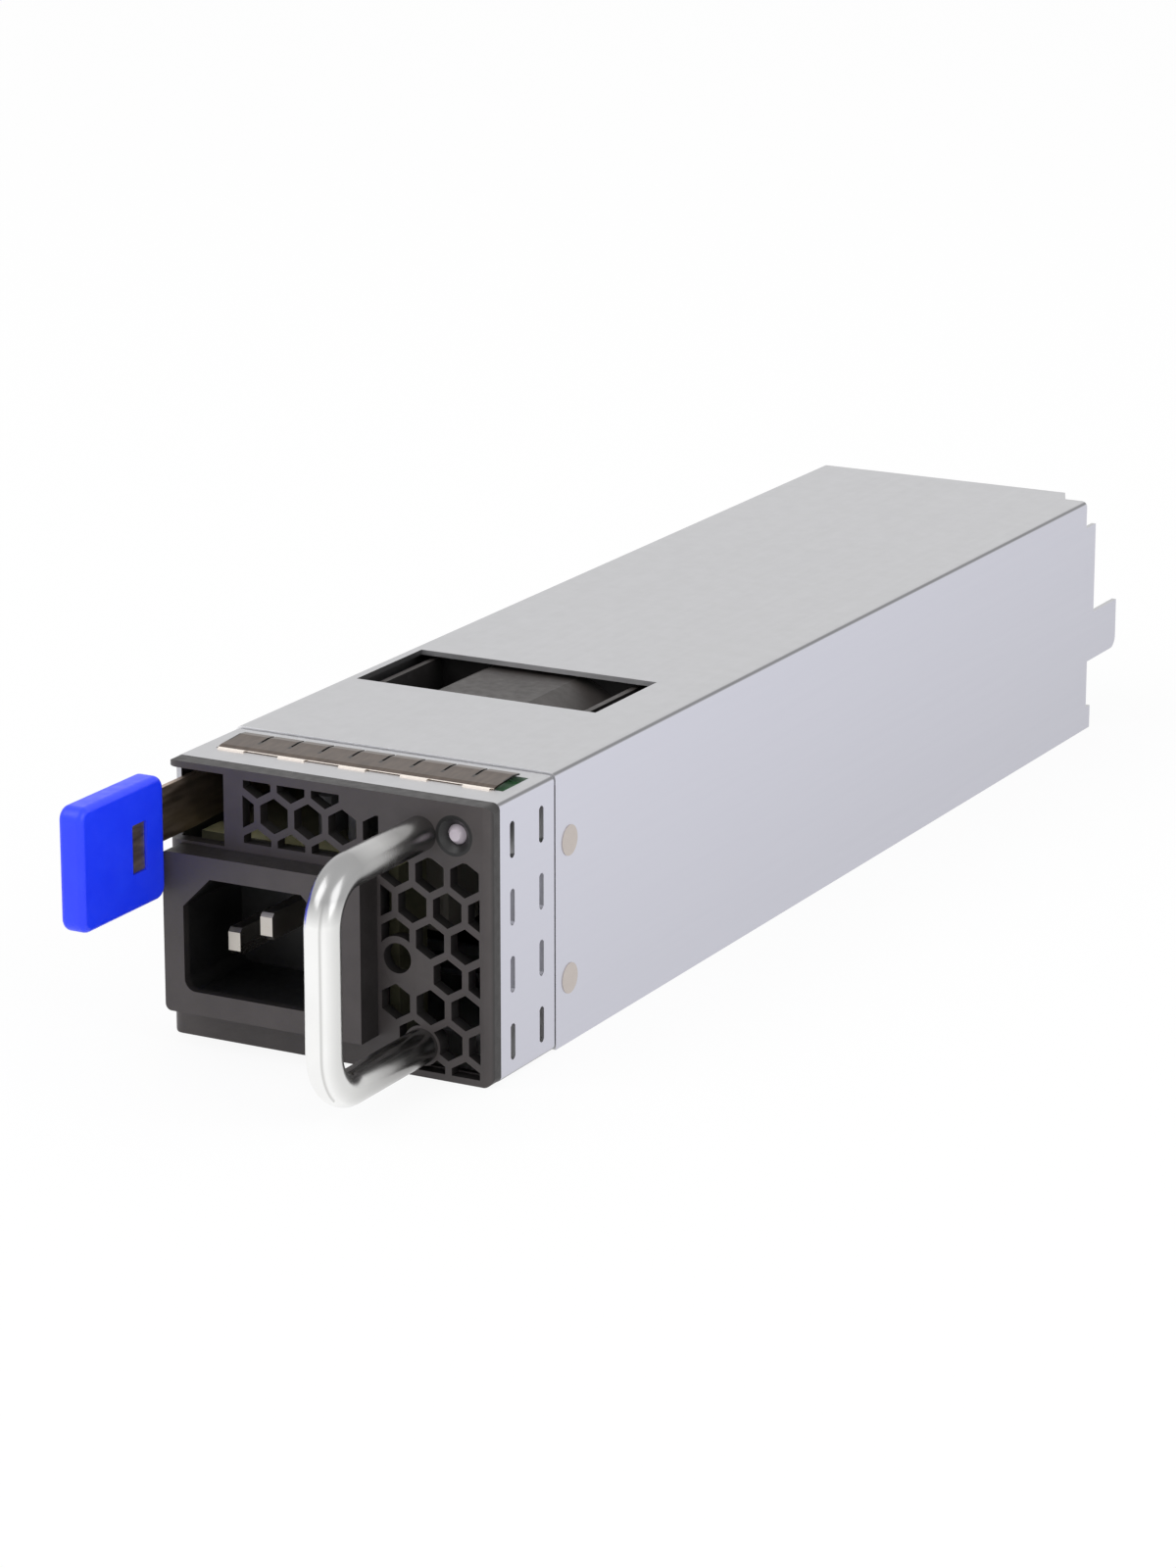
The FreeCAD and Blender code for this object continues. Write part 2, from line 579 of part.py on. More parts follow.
def latch_bracket():
    """Folded bracket on the left wall with two ears for the pivot pin."""
    low, high = LEVER_LOW_Z - 0.3, LEVER_HIGH_Z + 0.3
    ear_y = PIVOT_Y - 3.1
    web_y = PIVOT_Y + 3.2
    channel = [(ear_y, low - SHEET), (web_y + SHEET, low - SHEET), (web_y + SHEET, high + SHEET),
               (ear_y, high + SHEET), (ear_y, high), (web_y, high), (web_y, low), (ear_y, low)]
    bracket = slab(channel, "yz", -WALL_IN, -20.3)
    flange = block(-WALL_IN, -TONGUE_IN, web_y, web_y + 8.0, low - SHEET, high + SHEET)
    hole = rod(PIVOT_RADIUS, V(PIVOT_X, PIVOT_Y, low - BEYOND), V(PIVOT_X, PIVOT_Y, high + BEYOND))
    return fused([bracket, flange]).cut(hole)


def latch_pin():
    """Pivot pin pressed through both ears."""
    low = LEVER_LOW_Z - 0.3 - SHEET
    high = LEVER_HIGH_Z + 0.3 + SHEET
    return rod(PIVOT_RADIUS, V(PIVOT_X, PIVOT_Y, low), V(PIVOT_X, PIVOT_Y, high))


def latch_spring():
    """Leaf spring on the bracket's web that presses the lever outwards."""
    web_y = PIVOT_Y + 3.2
    touch_x = LEVER_ARM_X + LEVER_STOCK / 2 + 0.3
    path = [(-20.6, web_y), (-20.6, 31.0), (touch_x, 21.0), (touch_x + 1.2, 19.0)]
    return slab(band(path, 0.4), "xy", LEVER_LOW_Z + 1.4, LEVER_HIGH_Z - 1.4)


# Fan


def fan_frame():
    """Square fan frame: two flanges, round barrel between them, struts and a sleeve bearing."""
    half = FAN_SIZE / 2
    square = eight_sided(FAN_X, FAN_Z, FAN_SIZE, FAN_SIZE, 1.2)
    barrel = rod(FAN_BARREL, V(FAN_X, FAN_FRONT_Y, FAN_Z), V(FAN_X, FAN_REAR_Y, FAN_Z))
    barrel = barrel.common(slab(square, "xz", FAN_FRONT_Y, FAN_REAR_Y))
    flanges = [slab(square, "xz", y, y + FAN_FLANGE) for y in (FAN_FRONT_Y, FAN_REAR_Y - FAN_FLANGE)]
    ribs = [block(FAN_X + side * FAN_RIB_X - 0.5, FAN_X + side * FAN_RIB_X + 0.5, FAN_FRONT_Y, FAN_REAR_Y,
                  FAN_Z + 8.0, FAN_Z + half) for side in (-1, 1)]
    feet = [block(FAN_X - half + 3.0, FAN_X + half - 3.0, y, y + FAN_FLANGE, SHEET, FAN_Z - half + 0.2)
            for y in (FAN_FRONT_Y, FAN_REAR_Y - FAN_FLANGE)]
    bore = rod(FAN_BORE, V(FAN_X, FAN_FRONT_Y, FAN_Z), V(FAN_X, FAN_REAR_Y, FAN_Z))
    shell = fused([barrel] + flanges + ribs + feet).cut(bore)
    base_y = FAN_REAR_Y - 2.6
    motor_base = rod(FAN_HUB, V(FAN_X, base_y, FAN_Z), V(FAN_X, FAN_REAR_Y, FAN_Z))
    tube = rod(BEARING_RADIUS, V(FAN_X, FAN_FRONT_Y + 9.5, FAN_Z), V(FAN_X, FAN_REAR_Y, FAN_Z))
    struts = []
    for turn in (30, 150, 270):
        strut = block(FAN_HUB - 0.5, FAN_BORE + 0.3, base_y, FAN_REAR_Y, -0.9, 0.9)
        strut.rotate(V(0, 0, 0), V(0, 1, 0), turn)
        struts.append(strut.translated(V(FAN_X, 0, FAN_Z)))
    frame = fused([shell, motor_base, tube] + struts)
    sleeve = SHAFT_RADIUS + SHAFT_CLEARANCE
    return frame.cut(rod(sleeve, V(FAN_X, FAN_FRONT_Y + 9.5, FAN_Z), V(FAN_X, FAN_REAR_Y - 0.7, FAN_Z)))


def fan_rotor():
    """Hub cup with cambered, pitched blades trimmed to the bore."""
    front = FAN_FRONT_Y + 3.0
    rear = FAN_REAR_Y - 4.0
    bevel = 1.2
    hub = rod(FAN_HUB, V(FAN_X, front + bevel, FAN_Z), V(FAN_X, rear, FAN_Z))
    nose = Part.makeCone(FAN_HUB - bevel, FAN_HUB, bevel, V(FAN_X, front, FAN_Z), V(0, 1, 0))
    half_chord, camber, thickness = 9.5, 1.8, 1.0
    corners = [(-half_chord, 0), (0, camber), (half_chord, 0), (half_chord, thickness), (0, camber + thickness),
               (-half_chord, thickness)]
    single = slab(corners, "xy", FAN_HUB - 0.5, FAN_BORE + 1.0)
    single.rotate(V(0, 0, 0), V(0, 0, 1), FAN_PITCH)
    blades = []
    for i in range(FAN_BLADES):
        turned = single.copy()
        turned.rotate(V(0, 0, 0), V(0, 1, 0), 360.0 * i / FAN_BLADES)
        blades.append(turned.translated(V(FAN_X, (front + rear) / 2, FAN_Z)))
    axis = V(0, rear - front, 0)
    limit = section(V(FAN_X, front, FAN_Z), axis, FAN_BORE - FAN_TIP_GAP, 30).extrude(axis)
    rotor = fused([hub, nose] + blades).common(limit)
    cavity = rod(FAN_HUB - 0.9, V(FAN_X, front + 1.6, FAN_Z), V(FAN_X, rear, FAN_Z))
    return rotor.cut([cavity, rod(SHAFT_RADIUS, V(FAN_X, front, FAN_Z), V(FAN_X, rear, FAN_Z))])


def fan_shaft():
    front = FAN_FRONT_Y + 3.4
    return rod(SHAFT_RADIUS, V(FAN_X, front, FAN_Z), V(FAN_X, FAN_REAR_Y - 1.0, FAN_Z))


def fan_stator():
    """Wound stator block on the bearing tube, inside the hub."""
    y0, y1 = FAN_FRONT_Y + 10.5, FAN_REAR_Y - 6.5
    size = 1.9 * (FAN_HUB - 1.6)
    stack = slab(eight_sided(FAN_X, FAN_Z, size, size, 0.3 * size), "xz", y0, y1)
    return stack.cut(rod(BEARING_RADIUS, V(FAN_X, y0, FAN_Z), V(FAN_X, y1, FAN_Z)))


def fan_cradle():
    """Folded sheet in front of the fan with a foot on the base and two cheeks that grip the frame."""
    front = FAN_FRONT_Y - SHEET
    half = FAN_SIZE / 2
    section_yz = [(front - 7.0, SHEET), (FAN_FRONT_Y, SHEET), (FAN_FRONT_Y, FAN_Z + half - 0.6),
                  (front, FAN_Z + half - 0.6), (front, 2 * SHEET), (front - 7.0, 2 * SHEET)]
    plate = slab(section_yz, "yz", FAN_X - half, FAN_X + half)
    cheeks = [block(x, x + SHEET, front, FAN_FRONT_Y + 18.0, 9.4, 22.0)
              for x in (FAN_X - half - SHEET, FAN_X + half)]
    across = 2 * FAN_BORE - 2.0
    mouth = slab(eight_sided(FAN_X, FAN_Z, across, across, 9.0), "xz", front, FAN_FRONT_Y)
    return fused([plate] + cheeks).cut(mouth)


# Front boards and mains filter


def filter_board():
    """Board above the inlet, notched for the lever's bracket."""
    front = 3.0
    corners = [(-25.2, front), (FILTER_BOARD_RIGHT, front), (FILTER_BOARD_RIGHT, FILTER_BOARD_REAR_Y),
               (-25.2, FILTER_BOARD_REAR_Y)]
    return slab(corners, "xy", FILTER_BOARD_Z, FILTER_BOARD_Z + BOARD)


def inlet_board():
    """Upright board beside the inlet, joined to the filter board above it."""
    top = FILTER_BOARD_Z + BOARD
    corners = [(1.0, 3.0, 1.0), (9.0, 3.0, 1.0), (9.0, top), (1.0, top)]
    return slab(corners, "yz", FILTER_BOARD_RIGHT, FILTER_BOARD_RIGHT + BOARD)


def emi_choke():
    """Common-mode choke under the filter board: square core, two coils, header."""
    x, y, size, leg = -14.0, 25.0, 18.0, 4.5
    z1 = FILTER_BOARD_Z - 2.0
    z0 = z1 - size
    core = slab(rect(x - size / 2, x + size / 2, z0, z1), "xz", y - 3.0, y + 3.0)
    window = rect(x - size / 2 + leg, x + size / 2 - leg, z0 + leg, z1 - leg)
    core = core.cut(slab(window, "xz", y - 3.0, y + 3.0))
    coils = [slab(eight_sided(x + side * (size - leg) / 2, y, 8.0, 9.5, 2.0), "xy", z0 + leg, z1 - leg)
             for side in (-1, 1)]
    header = block(x - 8.0, x + 8.0, y - 4.0, y + 4.0, z1, FILTER_BOARD_Z)
    return fused([core, header] + coils)


def x_capacitor():
    """Boxed film capacitor under the filter board."""
    return slab(eight_sided(2.2, 24.5, 8.4, 10.0, 0.5), "xy", FILTER_BOARD_Z - 14.0, FILTER_BOARD_Z)


def y_capacitors():
    """Two moulded capacitors standing on the filter board."""
    top = FILTER_BOARD_Z + BOARD
    return Part.makeCompound([slab(eight_sided(x, 12.0, 2.2, 6.4, 0.6), "xy", top, top + 6.0)
                              for x in (-8.0, -3.0)])


def fuse():
    """Boxed fuse standing on the filter board."""
    top = FILTER_BOARD_Z + BOARD
    return slab(eight_sided(3.5, 14.0, 4.0, 8.4, 0.8), "xy", top, top + 7.5)


def inlet_wires():
    """Line and neutral from the filter board's edge along the lane beside the fan to the main board."""
    wires = []
    radius, sides = 0.9, 6
    z = FILTER_BOARD_Z + BOARD / 2
    for x, start_y in ((22.0, 24.0), (19.0, 28.0)):
        route = [V(FILTER_BOARD_RIGHT, start_y, z), V(x + radius, start_y, z), V(x, start_y, z),
                 V(x, 80.5 + radius, z), V(x, 80.5, z), V(x, 80.5, BOARD_TOP)]
        runs = [section(a, b - a, radius, sides).extrude(b - a) for a, b in zip(route[::2], route[1::2])]
        wires.append(fused(runs))
    return Part.makeCompound(wires)


# Main board


def main_board():
    """Board with the keyed tongue that plugs into the host."""
    x0, x1, tongue_y = EDGE_TONGUE
    side = TONGUE_IN - 0.4
    bevel = 1.0
    corners = [(-side, MAIN_BOARD_FRONT_Y), (side, MAIN_BOARD_FRONT_Y), (side, MAIN_BOARD_REAR_Y),
               (x1, MAIN_BOARD_REAR_Y), (x1, tongue_y - bevel), (x1 - bevel, tongue_y), (x0 + bevel, tongue_y),
               (x0, tongue_y - bevel), (x0, MAIN_BOARD_REAR_Y), (-side, MAIN_BOARD_REAR_Y)]
    board = slab(corners, "xy", MAIN_BOARD_Z, BOARD_TOP)
    key = block(2.0, 3.4, tongue_y - 9.0, tongue_y + BEYOND, MAIN_BOARD_Z, BOARD_TOP)
    neck = SUPPORT_NECK / 2
    holes = [block(x - neck, x + neck, y - neck, y + neck, MAIN_BOARD_Z, BOARD_TOP)
             for x, y in support_places()]
    return board.cut([key] + holes)


def support_places():
    return [(x, y) for x in (-22.0, 22.0) for y in (MAIN_BOARD_FRONT_Y + 8.5, MAIN_BOARD_REAR_Y - 3.5)]


def board_supports():
    """Snap-in posts between the base and the main board, with arrow heads above it."""
    supports = []
    neck = SUPPORT_NECK / 2
    foot = neck + 1.0
    barb = neck + 0.6
    arrow = [(-foot, SHEET), (foot, SHEET), (foot, MAIN_BOARD_Z), (neck, MAIN_BOARD_Z), (neck, BOARD_TOP),
             (barb, BOARD_TOP), (0.5, BOARD_TOP + 2.2), (-0.5, BOARD_TOP + 2.2), (-barb, BOARD_TOP),
             (-neck, BOARD_TOP), (-neck, MAIN_BOARD_Z), (-foot, MAIN_BOARD_Z)]
    for x, y in support_places():
        supports.append(slab([(x + u, z) for u, z in arrow], "xz", y - neck, y + neck))
    return Part.makeCompound(supports)


def card_edge_contacts():
    """Plated contacts on both faces of the tongue: wide power pads and narrow signal pads."""
    x0, x1, tongue_y = EDGE_TONGUE
    plating = 0.08
    rear = tongue_y - 1.2
    pads = []
    wide = [(x0 + 1.0 + 5.0 * i, 4.2) for i in range(4)]
    narrow = [(4.2 + 1.27 * i, 0.9) for i in range(6)]
    for x, width in wide + narrow:
        for z in (MAIN_BOARD_Z - plating, BOARD_TOP):
            pads.append(block(x, x + width, rear - 8.0, rear, z, z + plating))
    return Part.makeCompound(pads)


def insulator_sheet():
    """Thin film on the base under the main board, cleared round the supports."""
    side = TONGUE_IN - 0.2
    sheet = block(-side, side, MAIN_BOARD_FRONT_Y - 0.8, REAR_PANEL_Y - 4.0, SHEET, SHEET + 0.3)
    reach = 3.4
    return sheet.cut([block(x - reach, x + reach, y - reach, y + reach, SHEET, SHEET + 0.3)
                      for x, y in support_places()])


def heat_sink(x, y0, y1):
    """Upright plate with fins along Y, standing on the main board."""
    top, plate, fins, reach, fin = 36.5, 2.6, 5, 9.0, 1.2
    corners = [(x, BOARD_TOP), (x + plate, BOARD_TOP), (x + plate, top)]
    pitch = (top - BOARD_TOP - 4.0) / fins
    for i in range(fins):
        z = top - i * pitch
        if i:
            corners.append((x, z))
        corners += [(x - reach, z), (x - reach, z - fin), (x, z - fin)]
    return slab(corners, "xz", y0, y1)


def pfc_heat_sink():
    return heat_sink(SINK_X, 104.0, 130.0)


def output_heat_sink():
    return heat_sink(SINK_X, 164.0, 188.0)


def power_transistors():
    """Tab packages against the heat sinks, legs in the main board."""
    packages = []
    face = SINK_X + 2.6
    for y in (107.0, 119.0, 167.0, 179.0):
        tab = block(face, face + 1.3, y, y + 7.0, 14.0, 28.0)
        body = block(face, face + 4.4, y - 1.0, y + 8.0, 12.0, 21.0)
        legs = [block(face + 2.0, face + 2.6, y + 0.6 + 2.5 * i, y + 1.5 + 2.5 * i, BOARD_TOP, 12.0)
                for i in range(3)]
        packages.append(fused([tab, body] + legs))
    return Part.makeCompound(packages)


def bridge_rectifier():
    """Flat rectifier package on its four legs."""
    x, y = -24.0, 99.0
    body = slab([(x, 10.0), (x + 18.0, 10.0), (x + 18.0, 21.5), (x + 15.5, 24.0), (x, 24.0)], "xz", y, y + 3.4)
    legs = [block(x + 1.5 + 4.5 * i, x + 2.7 + 4.5 * i, y + 1.2, y + 2.0, BOARD_TOP, 10.0) for i in range(4)]
    return fused([body] + legs)


def pfc_choke():
    """Square core with a fat winding on a base."""
    x, y, half = -10.0, 90.2, 8.0
    base = block(x - half, x + half, y - half, y + half, BOARD_TOP, BOARD_TOP + 2.0)
    winding = slab(eight_sided(x, y, 2 * half - 1.0, 2 * half - 1.0, 4.0), "xy", BOARD_TOP + 2.0, 26.0)
    yokes = [block(x - half, x + half, y - 4.0, y + 4.0, z, z + 4.0) for z in (BOARD_TOP + 2.0, 23.0)]
    return fused([base, winding] + yokes)


def bulk_capacitor():
    """Large can lying on the main board."""
    radius, length, x, y = 11.0, 44.0, 10.5, 88.0
    z = BOARD_TOP + radius
    return rod(radius, V(x, y, z), V(x, y + length, z))


def transformer_core():
    """Two E halves round the bobbin."""
    y0, y1 = 138.0, 154.0
    core = slab(rect(-15.0, 15.0, BOARD_TOP + 3.0, 33.0), "xz", y0, y1)
    windows = [slab(rect(x, x + 5.5, BOARD_TOP + 8.0, 28.0), "xz", y0, y1) for x in (-10.5, 5.0)]
    return core.cut(windows)


def transformer_winding():
    """Bobbin and winding round the core's middle leg, standing on the main board."""
    low, high = BOARD_TOP + 8.0, 28.0
    flange = 1.2
    winding = slab(eight_sided(0, 146.0, 19.6, 25.0, 3.0), "xy", low + flange, high - flange)
    leg = block(-5.0, 5.0, 138.0, 154.0, low, high)
    flanges = [slab(eight_sided(0, 146.0, 20.8, 27.6, 3.0), "xy", z, z + flange) for z in (low, high - flange)]
    feet = [block(-7.0, 7.0, y, y + 4.0, BOARD_TOP, low) for y in (132.6, 155.4)]
    return fused([winding] + flanges + feet).cut(leg)


def output_inductor():
    """Block core with a flat winding through it."""
    core = block(2.0, 20.0, 166.0, 184.0, BOARD_TOP, 24.0)
    coil = block(6.0, 16.0, 164.5, 185.5, BOARD_TOP + 5.0, 19.0)
    window = block(9.0, 13.0, 164.0, 186.0, BOARD_TOP + 8.5, 15.5)
    return fused([core, coil]).cut(window)


def output_capacitors():
    """Row of moulded chip capacitors."""
    size, height, y = 8.0, 9.0, 195.0
    return Part.makeCompound([slab(eight_sided(x, y, size, size, 1.5), "xy", BOARD_TOP, BOARD_TOP + height)
                              for x in (-10.0, 0.0, 10.0)])


def control_board():
    """Upright board along the right wall, its lower edge on the main board."""
    board = block(22.0, 22.0 + BOARD, 132.0, 186.0, BOARD_TOP, 28.0)
    places = ((138.0, 14.0), (152.0, 12.0), (170.0, 15.0))
    chips = [block(21.0, 22.0, y, y + 8.0, z, z + 8.0) for y, z in places]
    return fused([board] + chips)


def fan_connector():
    """Shrouded header for the fan lead."""
    x, y = -22.5, MAIN_BOARD_FRONT_Y + 1.0
    header = block(x, x + 10.0, y, y + 4.5, BOARD_TOP, BOARD_TOP + 6.0)
    pocket = block(x + 0.8, x + 9.2, y + 0.8, y + 3.7, BOARD_TOP + 1.2, BOARD_TOP + 7.0)
    posts = [block(x + 1.8 + 2.0 * i, x + 2.3 + 2.0 * i, y + 2.0, y + 2.5, BOARD_TOP + 1.2, BOARD_TOP + 5.0)
             for i in range(4)]
    return fused([header.cut(pocket)] + posts)


SUB_PARTS = [
    base_tray, top_cover, front_frame, rear_panel, cover_rivets, emi_gasket, bezel, inlet_body, inlet_line_pins,
    inlet_earth_pin, handle, led_holder, led_lens, led_board, latch_arm, latch_grip, latch_pin,
    latch_bracket, latch_spring, fan_frame, fan_rotor, fan_shaft, fan_stator, fan_cradle,
    filter_board, inlet_board, emi_choke, x_capacitor, y_capacitors, fuse, inlet_wires, main_board,
    board_supports, card_edge_contacts, insulator_sheet, pfc_heat_sink, output_heat_sink, power_transistors,
    bridge_rectifier, pfc_choke, bulk_capacitor, transformer_core, transformer_winding, output_inductor,
    output_capacitors, control_board, fan_connector,
]

os.makedirs("parts", exist_ok=True)
for sub_part in SUB_PARTS:
    shape = sub_part()
    shape.exportStep("parts/" + sub_part.__name__ + ".step")
    print(sub_part.__name__, len(shape.Solids), round(shape.Volume, 1), shape.isValid())
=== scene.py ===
"""Looks of a slim hot-swap power supply module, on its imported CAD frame. Metres, X right, Y rear, Z up."""
import json
import math
import bmesh
import bpy
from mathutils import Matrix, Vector


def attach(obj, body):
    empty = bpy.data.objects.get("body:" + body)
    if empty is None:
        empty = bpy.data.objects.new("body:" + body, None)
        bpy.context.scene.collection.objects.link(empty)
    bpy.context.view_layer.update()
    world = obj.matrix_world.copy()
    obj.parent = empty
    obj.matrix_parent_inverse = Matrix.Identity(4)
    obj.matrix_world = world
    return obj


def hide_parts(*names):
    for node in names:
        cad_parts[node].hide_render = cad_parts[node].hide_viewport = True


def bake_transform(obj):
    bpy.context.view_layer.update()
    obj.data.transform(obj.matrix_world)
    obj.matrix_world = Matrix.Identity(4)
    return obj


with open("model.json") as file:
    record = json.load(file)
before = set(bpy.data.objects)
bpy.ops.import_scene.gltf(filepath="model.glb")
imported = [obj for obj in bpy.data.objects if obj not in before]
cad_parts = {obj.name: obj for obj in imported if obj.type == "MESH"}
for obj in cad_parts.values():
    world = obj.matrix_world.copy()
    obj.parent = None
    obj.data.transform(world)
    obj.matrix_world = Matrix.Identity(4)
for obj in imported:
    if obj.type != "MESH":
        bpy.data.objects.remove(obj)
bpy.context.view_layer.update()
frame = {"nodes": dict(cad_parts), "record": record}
nodes = frame["nodes"]
MM = 0.001

# Camera, fitted to the photograph
CAMERA_AZIMUTH = 28.3
CAMERA_ELEVATION = 16.26
CAMERA_DISTANCE = 0.84415
CAMERA_TARGET = Vector((-24.18, 120.0, 6.26)) * MM
LENS_MM = 116.285
SENSOR_MM = 36.0

# Light and stage: each lamp's place and power
WORLD_STRENGTH = 0.85
FLOOR_RADIUS = 6.0
FLOOR_SIDES = 96
FLOOR_Z = -0.1 * MM
FLOOR_GLOW = 0.9
FLOOR_COLOUR = (0.9, 0.9, 0.9)
FLOOR_ROUGHNESS = 0.9
LAMPS = {"key": ((-0.7, -0.9, 1.3), 9.0), "side": ((1.6, -0.2, 0.8), 8.0)}
LAMP_AIM = (0, 0.1, 0.02)
LAMP_SIZE = 1.2

# Sockets of a colour Mix node, and the part of a noise's range that holds most of it
MIX_FACTOR, MIX_FIRST, MIX_SECOND, MIX_RESULT = 0, 6, 7, 2
NOISE_MIDDLE = (0.3, 0.7)

# Zinc-plated sheet: colours, painted light on its side walls and where it changes, painted shade on its inner
# faces and folds, a painted highlight on its front edges. A PLAIN colour is the one that a material has without
# its nodes
ZINC_PLAIN = (0.57, 0.57, 0.585)
ZINC_DARK, ZINC_LIGHT = (0.529, 0.529, 0.541), (0.552, 0.552, 0.566)
ZINC_WALL_PAINTED_DARK, ZINC_WALL_PAINTED_LIGHT = (0.535, 0.536, 0.59), (0.615, 0.617, 0.69)
ZINC_INSIDE_SHADE = (0.16, 0.16, 0.165)
ZINC_FOLD_SHADE = (0.24, 0.24, 0.25)
ZINC_EDGE_HIGHLIGHT = (0.9, 0.9, 0.92)
PAINTED_WALL_FACING = (0.6, 0.95)
PAINTED_WALL_Z = (5.0 * MM, 40.0 * MM)
PAINTED_WALL_Y = (220.0 * MM, 20.0 * MM)
INSIDE_SHADE_LEAN = -12.0 * MM
INSIDE_SHADE_REAR_Y = 200.0 * MM
FOLD_SHADE_LEAN = (0.39, 0.49)
EDGE_HIGHLIGHT_FACING = (-0.75, -0.95)
EDGE_HIGHLIGHT_REAR_Y = 30.0 * MM
EDGE_HIGHLIGHT_LOW_Z = 40.0 * MM

# Spring finger strip: colours, the painted shade in the slits between its fingers, and its bare front lips
STRIP_PLAIN = (0.15, 0.12, 0.1)
STRIP_DARK, STRIP_LIGHT = (0.083, 0.062, 0.05), (0.125, 0.094, 0.074)
STRIP_SLIT_SHADE = (0.02, 0.016, 0.014)
STRIP_LIP = (0.98, 0.9, 0.82)
FINGER_LEFT_X = -23.1 * MM
FINGER_PITCH = 5.11 * MM
SLIT_SHADE_SHARE = 0.05
SLIT_SHADE_FRONT_Y = 7.4 * MM
LIP_REAR_Y = 4.6 * MM

# Handle bar: colours, a painted darker reflection line along its front, and painted shade on its right side, its
# legs and its upper bend
BAR_PLAIN = (0.92, 0.92, 0.91)
BAR_DARK, BAR_LIGHT = (0.91, 0.91, 0.9), (0.95, 0.95, 0.94)
BAR_PAINTED_LINE = (0.66, 0.66, 0.65)
BAR_RIGHT_SHADE = (0.7, 0.7, 0.69)
BAR_BEND_SHADE = (0.36, 0.36, 0.36)
BAR_LEG_SHADE = (0.28, 0.275, 0.27)
PAINTED_LINE_STARTS, PAINTED_LINE_ENDS = (0.28, 0.36), (0.4, 0.5)
PAINTED_LINE_FACING = -0.6
RIGHT_SHADE_FACING = (0.6, 1.0)
LEG_SHADE_Y = (-28.5 * MM, -12.0 * MM)
BEND_SHADE_Z = (30.5 * MM, 34.0 * MM)
BEND_SHADE_Y = (-17.0 * MM, -24.0 * MM)

# Olive boards: colours, and the lit front of their upper faces
OLIVE_PLAIN = (0.2, 0.19, 0.06)
OLIVE_DARK, OLIVE_LIGHT = (0.1, 0.097, 0.06), (0.15, 0.145, 0.09)
OLIVE_LIT_FACE = (0.6, 0.58, 0.33)
OLIVE_LIT_FACING = (0.4, 0.7)
OLIVE_LIT_REAR_Y = 8.0 * MM

# Gloss of moulded faces, the turn from a wall with painted shade to a face, tracks of the green boards, and the
# status light, whose colour is brightened as a painted highlight
FACE_SPECULAR = 0.4
WALL_SHADE_FACING = (0.2, 0.6)
TRACK_SCALE = 420
LENS_TINT_AND_HIGHLIGHT = (0.76, 0.68, 0.76)
LIGHT_CLEAR = 0.35

# Soft moulded grip, in millimetres: an outline is y, y, z, z and corner radius. The pocket shows the lever's metal
GRIP_X = (-27.6, -23.5)
GRIP_OUTLINE = (-30.6, -9.2, 22.6, 41.1, 2.0)
GRIP_EDGE = 1.0
POCKET_OUTLINE = (-17.8, -14.1, 28.1, 35.5, 0.3)
POCKET_X = -24.2
PADDLE_OUTLINE = (-17.75, -14.15, 28.15, 35.45, 0.25)
PADDLE_X = (-24.25, -23.85)
PADDLE_EDGE = 0.1
CORNER_STEPS = 8
EDGE_STEPS = 5

# Leaf spring behind the lever: its way in plan, its height, its half thickness and how many rounds its way is
# smoothed
LEAF_PATH = ((-20.6, 40.2), (-20.6, 31.0), (-24.6, 21.0), (-23.4, 19.0))
LEAF_Z = (32.0, 37.2)
LEAF_HALF = 0.2
LEAF_ROUNDS = 3

# Edge rounding that catches the light, in millimetres by node
EDGE_ROUND = {"top_cover": 0.12, "front_frame": 0.12, "bezel": 0.22, "inlet_body": 0.3, "latch_arm": 0.1,
              "fan_frame": 0.3, "cover_rivets": 0.1, "inlet_line_pins": 0.15, "inlet_earth_pin": 0.15,
              "led_holder": 0.2, "base_tray": 0.1, "rear_panel": 0.1}
ROUND_SEGMENTS = 2
ROUND_FROM_ANGLE = 35
SHARP_FROM_ANGLE = 50


def new_material(name, colour, roughness, metallic=0.0):
    """Principled material, its node tree and its shader."""
    made = bpy.data.materials.new(name)
    made.use_nodes = True
    shader = made.node_tree.nodes["Principled BSDF"]
    shader.inputs["Base Color"].default_value = (*colour, 1.0)
    shader.inputs["Roughness"].default_value = roughness
    shader.inputs["Metallic"].default_value = metallic
    return made, made.node_tree, shader


def noise(tree, scale, detail=3.0, stretch=(1, 1, 1)):
    """Noise in the part's own coordinates, with features of 1 / scale metres."""
    coordinates = tree.nodes.new("ShaderNodeTexCoord")
    mapping = tree.nodes.new("ShaderNodeMapping")
    mapping.inputs["Scale"].default_value = stretch
    texture = tree.nodes.new("ShaderNodeTexNoise")
    texture.inputs["Scale"].default_value = scale
    texture.inputs["Detail"].default_value = detail
    tree.links.new(coordinates.outputs["Object"], mapping.inputs["Vector"])
    tree.links.new(mapping.outputs["Vector"], texture.inputs["Vector"])
    return texture.outputs["Fac"]


def rise(tree, value, start, end, low=0.0, high=1.0):
    """Low up to the start, high from the end on."""
    ranged = tree.nodes.new("ShaderNodeMapRange")
    for name, number in (("From Min", start), ("From Max", end), ("To Min", low), ("To Max", high)):
        ranged.inputs[name].default_value = number
    tree.links.new(value, ranged.inputs["Value"])
    return ranged.outputs["Result"]


def spread(tree, value, low=0.0, high=1.0):
    """The middle of a noise, stretched to a range."""
    return rise(tree, value, *NOISE_MIDDLE, low, high)


